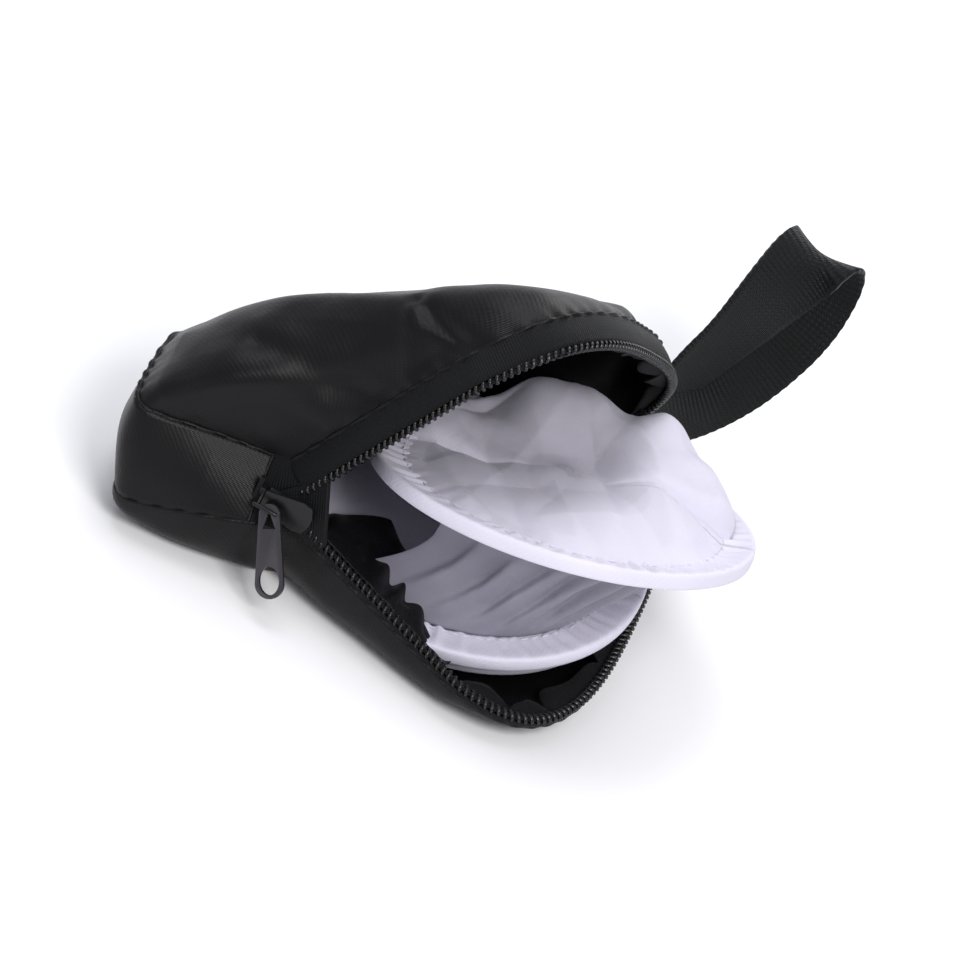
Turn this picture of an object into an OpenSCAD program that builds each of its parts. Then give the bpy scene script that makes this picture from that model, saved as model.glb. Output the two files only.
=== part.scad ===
// Collapsible light disc twisted into loops inside its open zipped carry pouch.
// Millimetres, +Z up, the pouch lies flat on its bottom panel.
// Plan points are counted from the slider; the whole part is then moved so that
// the origin is under the middle of its box.

/* [Disc] */
// Outer diameter of the loop that stands out of the mouth
loop_d = 93.5; // [91:0.5:94]
// Outer diameter of the middle loop of the stack, inside the mouth
lower_loop_d = 94; // [91:0.5:94]
// Outer diameter of the loop at the bottom of the stack
base_loop_d = 89; // [86:0.5:90]
// Width of the flat spring band, which is the height of the rim
band_h = 4.2; // [3:0.1:4.4]
// Thickness of the spring band
band_t = 0.6; // [0.4:0.05:0.8]
// Width of the white binding tape across the rim
binding_w = 9; // [6:0.5:11]
// Thickness of the binding tape
binding_t = 0.5; // [0.3:0.05:0.6]
// Thickness of the diffuser cloth with its creases
cloth_t = 0.5; // [0.3:0.1:0.8]

/* [Mouth of the pouch] */
// Straight run of the zip from the slider to where the nose starts
near_run = 57; // [52:1:60]
// How far the near side flares out over that run
near_flare = 14.5; // [12:0.5:16]
// Length of the rounded nose
nose_len = 32; // [30:1:36]
// Half the width of the nose
nose_half_w = 54.3; // [54:0.1:56]
// Squareness of the nose, 2 is an ellipse
nose_power = 2.8; // [2:0.1:3.2]
// Height of the zip at the slider
mouth_z = 24; // [23:0.5:26]
// How far the upper lip is lifted, in degrees
lift_up = 69; // [60:1:70]
// How far the lower lip sags, in degrees
sag_down = 12.6; // [8:0.1:12.8]

/* [Pouch cloth] */
// Thickness of the coated nylon
wall_t = 1; // [0.8:0.1:1.2]
// Height of the end gusset
gusset_h = 16; // [12:0.5:17]
// Height of the rounded belly under the gusset
belly_h = 12; // [11:0.5:13]
// Extra height of the hood between the lip and the narrow end
hood_bulge = 9; // [0:1:12]

/* [Zip] */
// Width of the upper tape between coil and seam
tape_w = 9; // [8:0.5:10]
// Width of the lower tape, which is tucked under
low_tape_w = 2.2; // [2:0.1:2.4]
// Thickness of the tape
tape_t = 0.6; // [0.4:0.1:0.8]
// Width of the coil
coil_w = 2.6; // [2.4:0.1:2.6]
// Height of the coil
coil_h = 2; // [1.8:0.1:2.2]
// Length of the slider
slider_len = 13; // [12:0.5:14]
// Width of the slider over its shoulders
slider_w = 9; // [8:0.5:10]
// Length of the pull tab
pull_len = 22.5; // [20:0.5:24]
// Width of the pull tab
pull_w = 7.2; // [7:0.1:7.6]
// Thickness of the pull tab
pull_t = 1.1; // [1:0.1:1.2]

/* [Wrist strap] */
// Width of the webbing
strap_w = 20; // [18:1:22]
// Thickness of the webbing
strap_t = 1.3; // [1:0.1:1.6]

/* [Hidden] */

// The middle of the part's box, seen from the slider
box_middle = [30.22, 65.2, 0];

// ---- plan of the mouth -------------------------------------------------------
nose_y = nose_half_w - near_flare;
far_turn = 85;                       // where the zip ends on the far side of the nose
function power(v) = sign(v) * pow(abs(v), 2 / nose_power);
function nose_point(a) = [near_run + nose_len * power(cos(a)), nose_y + nose_half_w * power(sin(a))];
run_start = 0.135;                   // the coils begin just ahead of the slider
near_points = [for (q = [run_start : 0.15 : 0.86]) [q * near_run, -q * near_flare]];
coil_steps = [-90, -72, -55, -40, -27, -14, 0, 14, 27, 40, 52, 63];
stop_steps = [65, 70];
nose_steps = concat(coil_steps, [70, far_turn]);
coil_line = concat(near_points, [for (a = coil_steps) nose_point(a)]);
rim = concat(near_points, [for (a = nose_steps) nose_point(a)]);
zip_end = nose_point(far_turn);
hinge_len = norm(zip_end);
hinge_dir = [zip_end[0] / hinge_len, zip_end[1] / hinge_len, 0];

// ---- plan of the pouch -------------------------------------------------------
stack = [37.5, 40.5];                // middle of the coiled disc when it is stowed
far_r = 53.2;                        // the far side runs round the coiled disc
near_corner = [-44, -3.5];
far_corner = [-44, 30];
gusset_end = -10;
far_side = concat([for (a = [138 : -12 : 90]) stack + far_r * [cos(a), sin(a)]], [zip_end - [12, 0]]);
narrow_end = concat([[gusset_end, -2.6]], [near_corner + [6, 0.1]],
                    [near_corner + [0, 5]], [far_corner - [0, 6]], [far_corner + [3.2, 0.4]]);
gusset_path = concat(narrow_end, far_side);
belly_near = [[gusset_end, -3.6], [near_run, -near_flare - 1]];
belly = concat([near_corner + [4, 0]], belly_near,
               [for (i = [1 : len(nose_steps) - 1]) nose_point(nose_steps[i]) + [1, 0]],
               [for (a = [90 : 12 : 138]) stack + (far_r + 0.1) * [cos(a), sin(a)]],
               [far_corner + [3, 0.5]], [far_corner - [0.5, 4]], [near_corner + [-0.5, 4]]);

// ---- path helpers ------------------------------------------------------------
function unit(v) = v / norm(v);
function along(p, i) = unit(p[min(i + 1, len(p) - 1)] - p[max(i - 1, 0)]);
function side(p, i) = let (d = along(p, i)) [d[1], -d[0]];
function shifted(p, d) = [for (i = [0 : len(p) - 1]) p[i] + d * side(p, i)];
function reversed(p) = [for (i = [len(p) - 1 : -1 : 0]) p[i]];
function turned(p, k, a) = p * cos(a) + cross(k, p) * sin(a) + k * (k * p) * (1 - cos(a));
function towards(a, b, t) = a + (b - a) * t;
// A point at a share t of a path's length
function path_len(p, i = 0) = i >= len(p) - 1 ? 0 : norm(p[i + 1] - p[i]) + path_len(p, i + 1);
function walk(p, d, i = 0) = i >= len(p) - 2 || d <= norm(p[i + 1] - p[i])
    ? p[i] + (p[i + 1] - p[i]) * d / norm(p[i + 1] - p[i])
    : walk(p, d - norm(p[i + 1] - p[i]), i + 1);
function share(p, t) = walk(p, t * path_len(p));

module strip(path, from, to) polygon(concat(shifted(path, from), reversed(shifted(path, to))));
module in_frame() translate(-box_middle) children();
// Turns a flat piece of the mouth about the line from the slider to the zip's end
module lip(angle) in_frame() translate([0, 0, mouth_z]) rotate(a = angle, v = hinge_dir) children();

// ---- cloth panels ------------------------------------------------------------
plate_in = 7;                        // the flat underside stands this far inside the belly
module belly_solid(inset) hull() {
    linear_extrude(0.2) translate(stack) scale((50 - plate_in - inset) / 50) translate(-stack) polygon(belly);
    translate([0, 0, 5]) linear_extrude(belly_h - 5)
        translate(stack) scale((50 - inset) / 50) translate(-stack) polygon(belly);
}
module bottom_panel() color("#202022") in_frame() difference() {
    belly_solid(0);
    translate([0, 0, wall_t]) belly_solid(wall_t + 0.6);
    // the mouth, cut a little under the lower lip
    translate([0, 0, mouth_z]) rotate(a = sag_down, v = hinge_dir) rotate([0, 0, atan2(zip_end[1], zip_end[0]) - 90])
        translate([-1, -30, -low_tape_w - 2.4]) cube([200, 200, 60]);
}
module end_gusset() color("#1f1f21") in_frame() translate([0, 0, belly_h + 0.2])
    linear_extrude(gusset_h) strip(gusset_path, 0, wall_t);

// The hood is spun between the upper seam and the top edge of the gusset
top_z = belly_h + gusset_h + 0.5;
seam_path = [for (p = shifted(rim, 0)) [0, 0, mouth_z] + turned([p[0], p[1], tape_w + 0.4], hinge_dir, -lift_up)];
base_path = [for (p = concat([[-3, -1.2]], gusset_path)) [p[0], p[1], top_z]];
function hood(u, v) = let (a = share(seam_path, u), b = share(base_path, u))
    towards(a, b, v) + [0, 0, hood_bulge * sin(180 * v) * sin(180 * u)];
function hood_out(u, v) = let (e = 0.01)
    unit(cross(hood(u + e, v) - hood(u - e, v), hood(u, v - e) - hood(u, v + e)));
module hood_shell(v0, v1, rows, u0 = 0.08, u1 = 0.9) {
    cols = 24;
    us = [for (i = [0 : cols]) u0 + (u1 - u0) * i / cols];
    vs = [for (j = [0 : rows]) v0 + (v1 - v0) * j / rows];
    n = (cols + 1) * (rows + 1);
    pts = concat([for (u = us, v = vs) hood(u, v)], [for (u = us, v = vs) hood(u, v) - wall_t * hood_out(u, v)]);
    function id(i, j) = i * (rows + 1) + j;
    top = [for (i = [0 : cols - 1], j = [0 : rows - 1]) each [
        [id(i, j), id(i, j + 1), id(i + 1, j + 1)], [id(i, j), id(i + 1, j + 1), id(i + 1, j)]]];
    under = [for (f = top) [f[2] + n, f[1] + n, f[0] + n]];
    ends = [for (j = [0 : rows - 1]) each [
        [id(0, j) + n, id(0, j + 1), id(0, j)], [id(0, j) + n, id(0, j + 1) + n, id(0, j + 1)],
        [id(cols, j), id(cols, j + 1), id(cols, j) + n], [id(cols, j + 1), id(cols, j + 1) + n, id(cols, j) + n]]];
    edges = [for (i = [0 : cols - 1]) each [
        [id(i, 0), id(i + 1, 0), id(i, 0) + n], [id(i + 1, 0), id(i + 1, 0) + n, id(i, 0) + n],
        [id(i, rows) + n, id(i + 1, rows), id(i, rows)], [id(i, rows) + n, id(i + 1, rows) + n, id(i + 1, rows)]]];
    polyhedron(pts, concat(top, under, ends, edges));
}
module top_panel_rear() color("#202022") in_frame() hood_shell(0.36, 0.985, 7);
module top_panel_front() color("#222224") in_frame() hood_shell(0.02, 0.27, 3);

// ---- zip ---------------------------------------------------------------------
module zip_tape(width) translate([0, 0, coil_h * 0.4]) linear_extrude(width) strip(rim, 0, tape_t);
module zip_coil() translate([0, 0, 0.15]) linear_extrude(coil_h) strip(coil_line, -coil_w, -0.05);
module allowance(depth) translate([0, 0, coil_h + 0.4]) linear_extrude(0.6) strip(coil_line, -depth, -0.05);
module stop_block() translate([0, 0, 0.15]) linear_extrude(coil_h)
    strip([for (a = stop_steps) nose_point(a)], -coil_w, -0.05);

module upper_zip_tape() color("#141618") lip(-lift_up) zip_tape(tape_w);
module upper_zip_coil() color("#0e0f10") lip(-lift_up) zip_coil();
module upper_seam_allowance() color("#0c0d0e") lip(-lift_up) allowance(4.5);
module upper_top_stop() color("#3a3a3c") lip(-lift_up) stop_block();
module lower_zip_tape() color("#141618") lip(sag_down) mirror([0, 0, 1]) zip_tape(low_tape_w);
module lower_zip_coil() color("#0e0f10") lip(sag_down) mirror([0, 0, 1]) zip_coil();
module lower_seam_allowance() color("#0c0d0e") lip(sag_down) mirror([0, 0, 1]) allowance(1.4);
module lower_top_stop() color("#3a3a3c") lip(sag_down) mirror([0, 0, 1]) stop_block();

// The sewn end of both tapes behind the slider
module near_end_patch() color("#17181a") in_frame() translate([gusset_end + 0.1, -2.4, mouth_z - 7])
    cube([1.1, 2 * tape_t, 12]);
module bottom_stop() color("#3a3a3c") in_frame() translate([gusset_end + 1.3, -2.6, mouth_z - 2.5]) cube([1.2, 2.6, 5]);

// ---- slider ------------------------------------------------------------------
slider_x = -7.2;                     // tail of the slider
plate_t = 1.1;
slider_gap = 3;                      // room for both coils between the plates
out_y = -2;                          // inner face of the outer plate
module slider_plate() rotate([90, 0, 0]) linear_extrude(plate_t)
    polygon([[0, -2.6], [3, -3.1], [9.5, -slider_w / 2], [12, -slider_w / 2 + 0.6], [slider_len, -1.2],
             [slider_len, 1.2], [12, slider_w / 2 - 0.6], [9.5, slider_w / 2], [3, 3.1], [0, 2.6]]);
module slider_body() color("#26262a") in_frame() translate([slider_x, 0, mouth_z]) {
    translate([0, out_y, 0]) slider_plate();
    translate([0, out_y + slider_gap + plate_t, 0]) slider_plate();
    // the divider between the two rows
    translate([11.4, out_y + slider_gap + 0.5, 0]) rotate([90, 0, 0]) cylinder(h = slider_gap + 1, d = 2, $fn = 24);
    // the rails along both edges
    for (s = [-1, 1]) translate([0.6, out_y - 0.2, s * 2.9 - 0.35]) cube([5, 1.2, 0.7]);
}
bail_r = 0.5;
bail_y = out_y - plate_t;            // outer face of the outer plate
head_y = bail_y - 1.1;               // axis that the pull tab turns on
bar_y = bail_y - 2.75;               // axis of the bail's bar
head_x = -4.6;
// The pull tab hangs down and forward, and stands a little off the belly
pull_lean = 31.7;
pull_off = 26;
bail_back = 3;
bail_fore = 3.1;
cross_at = -0.95;
bar_mid = [head_x + cross_at * cos(pull_lean), bar_y, mouth_z + cross_at * sin(pull_lean)];
module slider_bail() color("#1c1c20") in_frame() {
    translate(bar_mid + [-bail_back, 0, 0]) rotate([0, 90, 0]) cylinder(h = bail_back + bail_fore, r = bail_r + 0.05, $fn = 24);
    for (x = [-bail_back, bail_fore]) translate(bar_mid + [x, bail_y - bar_y, 0]) rotate([90, 0, 0])
        cylinder(h = bail_y - bar_y, r = bail_r, $fn = 24);
}
hole_half = 2.75;
head_bar = 0.6;
oval_w = 4.4;
oval_l = 7.6;
module pull_outline() difference() {
    union() {
        polygon([[-pull_w / 2, -head_bar + 0.6], [-pull_w / 2 + 0.6, -head_bar], [pull_w / 2 - 0.6, -head_bar],
                 [pull_w / 2, -head_bar + 0.6], [pull_w / 2 - 0.2, pull_len - 3], [-pull_w / 2 + 0.2, pull_len - 3]]);
        translate([0, pull_len - 3.6]) intersection() {
            circle(d = pull_w, $fn = 48);
            translate([-pull_w, 0]) square(2 * pull_w);
        }
    }
    translate([-hole_half, head_bar]) square([2 * hole_half, 4]);
    translate([0, 15.4]) union() {
        for (y = [-1, 1]) translate([0, y * (oval_l - oval_w) / 2]) circle(d = oval_w, $fn = 32);
        square([oval_w, oval_l - oval_w], center = true);
    }
}
module pull_tab() color("#6b676c") in_frame() translate([head_x, head_y, mouth_z])
    rotate([0, -pull_lean, 0]) rotate([-pull_off, 0, 0]) rotate([-90, 0, 0])
    translate([0, 0, -pull_t / 2]) linear_extrude(pull_t) pull_outline();

// ---- wrist strap -------------------------------------------------------------
// Middle line of the webbing and the direction of its width, from the sewn end,
// along the ply that lies behind, over the tip and back along the front ply
root_gap = 7.0;                      // from the zip's end to the root of the webbing
strap_root = [zip_end[0] + root_gap * hinge_dir[0], zip_end[1] + root_gap * hinge_dir[1], mouth_z - 1];
strap_route = [
    [[2.4, 1.2, 0.4], [0, 0.05, 1]], [[7.6, 11.5, 6.5], [-0.3, 0.2, 0.93]], [[14, 22, 10.5], [-0.62, 0.28, 0.7]],
    [[20, 31, 16.5], [-0.85, 0.29, 0.43]], [[25, 40, 27], [-0.9, 0.22, 0.3]], [[25, 44.5, 38.5], [-0.98, 0.11, 0.15]],
    [[23, 43, 45], [-1, 0, 0.03]], [[20, 37.5, 46.5], [-1, -0.08, 0.03]], [[16.5, 29.5, 40], [-0.86, -0.38, 0.25]],
    [[11, 21, 29], [-0.62, -0.6, 0.5]], [[6, 14.5, 18.5], [-0.4, -0.5, 0.77]], [[2.2, 7, 7.5], [-0.1, -0.2, 0.97]],
    [[0, 1.2, 1.6], [0, -0.05, 1]]];
// The webbing is bunched where it is sewn in
function half_width(i) = let (from_end = min(i, len(strap_route) - 1 - i))
    from_end == 0 ? strap_w / 4 : from_end == 1 ? 0.4 * strap_w : strap_w / 2;
function route_dir(i) = unit(strap_route[min(i + 1, 12)][0] - strap_route[max(i - 1, 0)][0]);
function route_wide(i) = let (w = strap_route[i][1], d = route_dir(i)) unit(w - d * (w * d));
function web_ring(i) = let (p = strap_root + strap_route[i][0], w = route_wide(i) * half_width(i),
                            o = cross(route_dir(i), route_wide(i)) * strap_t / 2) [p + w + o, p - w + o, p - w - o, p + w - o];
module wrist_strap() color("#181b1b") in_frame() for (i = [0 : len(strap_route) - 2])
    hull() polyhedron(concat(web_ring(i), web_ring(i + 1)), [[0, 1, 2, 3], [4, 5, 6, 7]]);
// The stitched block that joins both plies next to the seam
module at_zip_end() in_frame() translate([zip_end[0], zip_end[1], 0]) rotate([0, 0, atan2(hinge_dir[1], hinge_dir[0]) - 90])
    children();
module strap_bartack() color("#101112") at_zip_end() translate([-0.5, 5.75, mouth_z - 6]) cube([1, 0.85, 5]);
// The seam at the end of the zip that holds the webbing
module strap_anchor() color("#17181a") at_zip_end() translate([-2.5, 4.2, mouth_z - 10]) cube([5, 1.3, 13]);

// ---- sprung disc -------------------------------------------------------------
// Where each loop lies: its middle, then its tilt about X and Y in degrees
base_place = [[38.2, 40.6, 8.6], [4, -4]];
lower_place = [[38.2, 40.5, 13.6], [4, -4]];
upper_place = [[57, 38, 38.4], [-16, -11]];
module at_loop(place) in_frame() translate(place[0]) rotate([place[1][0], 0, 0]) rotate([0, place[1][1], 0]) children();
// The binding's section: a wedge folded over the band and sewn to the cloth
module wedge(r, grow) polygon([[r, -band_h / 2 + 0.4 - grow], [r, band_h / 2 - 0.4 + grow],
    [r - band_t - 0.4, band_h / 2 + grow], [r - binding_w, cloth_t / 2 + binding_t / 2 + grow],
    [r - binding_w, -cloth_t / 2 - binding_t / 2 - grow], [r - band_t - 0.4, -band_h / 2 - grow]]);
module binding_ring(d) rotate_extrude($fn = 96) difference() {
    wedge(d / 2, 0);
    translate([d / 2 - binding_t - band_t - 0.1, -band_h / 2 + binding_t]) square([band_t + 0.1, band_h - 2 * binding_t]);
    translate([d / 2 - binding_w - 1, -cloth_t / 2]) square([binding_w - 2, cloth_t]);
}
module hoop_ring(d) rotate_extrude($fn = 96)
    translate([d / 2 - binding_t - band_t - 0.05, -band_h / 2 + binding_t + 0.05]) square([band_t, band_h - 2 * binding_t - 0.1]);
module cloth_disc(d) translate([0, 0, -cloth_t / 2 + 0.02]) cylinder(h = cloth_t - 0.04, d = d - 7, $fn = 96);

module base_hoop() color("#9a9da0") at_loop(base_place) difference() {
    hoop_ring(base_loop_d);
    rotate(200) translate([base_loop_d / 2 - 3, -4.1, -3]) cube([6, 8.2, 6]);
}
module base_binding() color("#e2ddf1") at_loop(base_place) binding_ring(base_loop_d);
module base_diffuser() color("#d6d3e8") at_loop(base_place) cloth_disc(base_loop_d);
// The crimped sleeve that closes the band into a hoop, inside the binding
module hoop_ferrule() color("#8f9295") at_loop(base_place) rotate(200)
    translate([base_loop_d / 2 - binding_t - band_t - 0.02, -3.9, -band_h / 2 + binding_t + 0.1])
    cube([0.4, 7.8, band_h - 2 * binding_t - 0.2]);
module lower_hoop() color("#9a9da0") at_loop(lower_place) hoop_ring(lower_loop_d);
module lower_binding() color("#ccc8df") at_loop(lower_place) binding_ring(lower_loop_d);
module lower_diffuser() color("#bdb9cc") at_loop(lower_place) cloth_disc(lower_loop_d);
module upper_hoop() color("#9a9da0") at_loop(upper_place) hoop_ring(loop_d);
module upper_binding() color("#e2ddf1") at_loop(upper_place) binding_ring(loop_d);
module upper_diffuser() color("#d6d3e8") at_loop(upper_place) cloth_disc(loop_d);
// The cloth that runs from the lower loop to the upper one, inside the mouth
module diffuser_fold() color("#737084") in_frame() translate([8, 26, 19.5]) rotate([-7, -11, 0]) cube([34, 26, 3.6]);

bottom_panel();
end_gusset();
top_panel_rear();
top_panel_front();
upper_zip_tape();
upper_zip_coil();
upper_seam_allowance();
upper_top_stop();
lower_zip_tape();
lower_zip_coil();
lower_seam_allowance();
lower_top_stop();
near_end_patch();
bottom_stop();
slider_body();
slider_bail();
pull_tab();
strap_anchor();
wrist_strap();
strap_bartack();
base_hoop();
base_binding();
base_diffuser();
hoop_ferrule();
lower_hoop();
lower_binding();
lower_diffuser();
upper_hoop();
upper_binding();
upper_diffuser();
diffuser_fold();
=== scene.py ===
"""A white diffusion disc, twisted into loops, standing half out of its open black zipped pouch.

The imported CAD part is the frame. This script builds what shows of it: the pouch's cloth, the zip,
the slider, the wrist strap, the bound loops and the creased cloth, in metres, in the part's frame.
"""
from __future__ import annotations

import logging
import math
from dataclasses import dataclass, field
from enum import Enum
from typing import Sequence

import bpy
import numpy as np
from mathutils import Matrix, Vector


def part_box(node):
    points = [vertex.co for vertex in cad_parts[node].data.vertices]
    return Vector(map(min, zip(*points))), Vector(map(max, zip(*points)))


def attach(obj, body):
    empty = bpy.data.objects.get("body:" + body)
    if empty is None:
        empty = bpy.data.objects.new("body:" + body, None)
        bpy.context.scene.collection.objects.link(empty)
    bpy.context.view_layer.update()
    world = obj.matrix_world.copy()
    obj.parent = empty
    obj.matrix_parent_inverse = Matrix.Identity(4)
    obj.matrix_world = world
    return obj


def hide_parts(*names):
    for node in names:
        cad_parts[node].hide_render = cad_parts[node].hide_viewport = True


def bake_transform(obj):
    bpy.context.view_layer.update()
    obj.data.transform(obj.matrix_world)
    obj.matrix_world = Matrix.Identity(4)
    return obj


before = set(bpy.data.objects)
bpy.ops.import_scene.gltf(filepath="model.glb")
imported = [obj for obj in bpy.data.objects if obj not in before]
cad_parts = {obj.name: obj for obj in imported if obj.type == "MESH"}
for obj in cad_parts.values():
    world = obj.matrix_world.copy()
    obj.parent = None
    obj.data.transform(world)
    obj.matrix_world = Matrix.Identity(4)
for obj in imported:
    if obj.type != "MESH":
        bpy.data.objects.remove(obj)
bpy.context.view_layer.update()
LOG = logging.getLogger("pouch")
MM = 0.001
UP = np.array([0.0, 0.0, 1.0])


class Body(str, Enum):
    """The bodies of the part that a piece can ride on."""

    POUCH = "pouch"
    LID = "lid"
    LIP = "lower_lip"
    SLIDER = "slider"
    PULL = "pull_tab"
    STRAP = "strap"
    STACK = "loop_stack"
    UPPER = "loop_upper"


class Slot(str, Enum):
    """The material slots of the record."""

    NYLON = "pouch_fabric"
    TAPE = "zip_tape"
    COIL = "zip_coil"
    SEAM = "seam_binding"
    WEBBING = "webbing"
    SLIDER = "slider_metal"
    PULL = "pull_metal"
    STEEL = "spring_steel"
    BINDING = "rim_binding"
    DIFFUSER = "diffuser_cloth"


# ---- shader maths ------------------------------------------------------------


class Value:
    """A shader socket that can be used in arithmetic."""

    def __init__(self, graph: Graph, socket: bpy.types.NodeSocket) -> None:
        """Wraps a socket of a graph."""
        self.graph = graph
        self.socket = socket

    def _math(self, operation: str, first: Value | float, second: Value | float = 0.0) -> Value:
        """Adds one Math node and returns its result."""
        return self.graph.add("ShaderNodeMath", {"operation": operation}, {0: first, 1: second})

    def __add__(self, other: Value | float) -> Value:
        """Sum."""
        return self._math("ADD", self, other)

    __radd__ = __add__

    def __mul__(self, other: Value | float) -> Value:
        """Product."""
        return self._math("MULTIPLY", self, other)

    __rmul__ = __mul__

    def __sub__(self, other: Value | float) -> Value:
        """Difference."""
        return self._math("SUBTRACT", self, other)

    def __rsub__(self, other: float) -> Value:
        """Reflected difference."""
        return self._math("SUBTRACT", other, self)

    def sine(self) -> Value:
        """Sine of the value."""
        return self._math("SINE", self)

    def over(self, limit: float) -> Value:
        """1 where the value is over the limit, else 0."""
        return self._math("GREATER_THAN", self, limit)


class Graph:
    """One node material with a Principled shader."""

    def __init__(self, name: str) -> None:
        """Makes an empty material of that name."""
        self.material = bpy.data.materials.new(name)
        self.material.use_nodes = True
        self.tree = self.material.node_tree
        self.shader = self.tree.nodes["Principled BSDF"]

    def add(self, kind: str, settings: dict, inputs: dict, output: int | str = 0) -> Value:
        """Adds a node.

        Args:
            kind: The node's type.
            settings: Attributes set before the sockets.
            inputs: Values or links by socket name or index.
            output: The output that is returned.

        Returns:
            The output, ready for arithmetic.
        """
        node = self.tree.nodes.new(kind)
        for key, value in settings.items():
            setattr(node, key, value)
        for key, value in inputs.items():
            self.feed(node.inputs[key], value)
        return Value(self, node.outputs[output])

    def feed(self, socket: bpy.types.NodeSocket, value: Value | float | Sequence[float]) -> None:
        """Links or sets one socket."""
        if isinstance(value, Value):
            self.tree.links.new(value.socket, socket)
        else:
            socket.default_value = value

    def set(self, **values: Value | float | Sequence[float]) -> Graph:
        """Feeds the Principled shader's sockets, with _ for the spaces in their names."""
        for key, value in values.items():
            self.feed(self.shader.inputs[key.replace("_", " ")], value)
        return self

    def mix(self, factor: Value, first: Sequence[float], second: Sequence[float]) -> Value:
        """Mixes two colours by a factor."""
        node = self.tree.nodes.new("ShaderNodeMix")
        node.data_type = "RGBA"
        self.feed(node.inputs["Factor"], factor)
        node.inputs[6].default_value = (*first, 1.0)
        node.inputs[7].default_value = (*second, 1.0)
        return Value(self, node.outputs[2])

    def axes(self, source: str = "UV") -> tuple[Value, Value, Value]:
        """The three coordinates of a point, from the UV map or the object's own space."""
        place = self.add("ShaderNodeTexCoord", {}, {}, source)
        node = self.tree.nodes.new("ShaderNodeSeparateXYZ")
        self.tree.links.new(place.socket, node.inputs[0])
        return tuple(Value(self, node.outputs[i]) for i in range(3))

    def noise(self, scale: float, detail: float = 3.0, source: str = "Object") -> Value:
        """Soft noise in object space, 0 to 1."""
        place = self.add("ShaderNodeTexCoord", {}, {}, source)
        return self.add("ShaderNodeTexNoise", {}, {"Vector": place, "Scale": scale, "Detail": detail})

    def bump(self, height: Value, distance: float, strength: float = 1.0) -> Graph:
        """Drives the shader's normal with a height."""
        node = self.add("ShaderNodeBump", {}, {"Height": height, "Distance": distance, "Strength": strength})
        return self.set(Normal=node)


@dataclass(frozen=True)
class Weave:
    """A woven cloth: two sets of threads that show as a fine diagonal."""

    name: str
    color: tuple[float, float, float]
    light: tuple[float, float, float]
    pitch_mm: float = 0.55
    depth_mm: float = 0.05
    rough: float = 0.55
    sheen: float = 0.2
    creases: float = 0.3
    specular: float = 0.5

    def build(self) -> bpy.types.Material:
        """Returns the cloth's material."""
        graph = Graph(self.name)
        u, v, _ = graph.axes()
        turn = 2 * math.pi / (self.pitch_mm * MM)
        twill = ((u + v) * turn).sine() * 0.6 + ((u - v) * (turn * 0.5)).sine() * 0.4
        worn = graph.noise(60.0, 4.0)
        shade = twill * 0.18 + worn * 0.9 - 0.1
        graph.set(Base_Color=graph.mix(shade, self.color, self.light))
        graph.set(Roughness=worn * 0.16 + (self.rough - 0.08))
        graph.set(Sheen_Weight=self.sheen, Sheen_Roughness=0.4, Specular_IOR_Level=self.specular)
        fine = graph.noise(700.0, 2.0) * 0.6 + graph.noise(140.0, 4.0) * (self.creases * 12)
        graph.bump(twill * 0.5 + fine, self.depth_mm * MM)
        return graph.material


@dataclass(frozen=True)
class Ribbed:
    """Woven tape or webbing with ribs across its width."""

    name: str
    color: tuple[float, float, float]
    light: tuple[float, float, float]
    rib_mm: float = 1.1
    depth_mm: float = 0.14
    rough: float = 0.45

    def build(self) -> bpy.types.Material:
        """Returns the tape's material."""
        graph = Graph(self.name)
        u, v, _ = graph.axes()
        turn = 2 * math.pi / (self.rib_mm * MM)
        rib = (u * turn + (v * (turn * 1.7)).sine() * 0.7).sine()
        thread = (v * (turn * 2.6)).sine()
        worn = graph.noise(90.0)
        graph.set(Base_Color=graph.mix(rib * 0.2 + thread * 0.12 + worn * 0.8 - 0.1, self.color, self.light))
        graph.set(Roughness=worn * 0.15 + self.rough, Sheen_Weight=0.02, Specular_IOR_Level=0.17)
        graph.bump(rib * 0.5 + thread * 0.3 + graph.noise(900.0) * 0.5, self.depth_mm * MM)
        return graph.material


@dataclass(frozen=True)
class Lacquer:
    """Lacquered cast metal, or plain plastic, with small marks."""

    name: str
    color: tuple[float, float, float]
    worn: tuple[float, float, float]
    metallic: float = 0.6
    rough: float = 0.38

    def build(self) -> bpy.types.Material:
        """Returns the lacquer's material."""
        graph = Graph(self.name)
        marks = graph.noise(420.0, 6.0)
        graph.set(Base_Color=graph.mix(marks.over(0.7), self.color, self.worn))
        graph.set(Metallic=self.metallic, Roughness=graph.noise(180.0) * 0.3 + (self.rough - 0.15))
        graph.bump(graph.noise(900.0, 4.0), 0.03 * MM, 0.5)
        return graph.material


# ---- geometry helpers --------------------------------------------------------


def smooth_line(points: np.ndarray, count: int, rounds: int = 3) -> np.ndarray:
    """Rounds a route's corners and spaces its points evenly.

    Args:
        points: The route's own points, one a row.
        count: How many points come back.
        rounds: How many times the corners are cut.

    Returns:
        The evenly spaced points.
    """
    line = np.asarray(points, float)
    for _ in range(rounds):
        cut = np.stack([line[:-1] * 0.75 + line[1:] * 0.25, line[:-1] * 0.25 + line[1:] * 0.75], 1)
        line = np.vstack([line[:1], cut.reshape(-1, line.shape[1]), line[-1:]])
    return spaced(line, count)


def spaced(line: np.ndarray, count: int) -> np.ndarray:
    """Returns count points evenly spaced along a line."""
    run = np.r_[0, np.cumsum(np.linalg.norm(np.diff(line, axis=0), axis=1))]
    want = np.linspace(0, run[-1], count)
    return np.stack([np.interp(want, run, line[:, k]) for k in range(line.shape[1])], 1)


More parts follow.
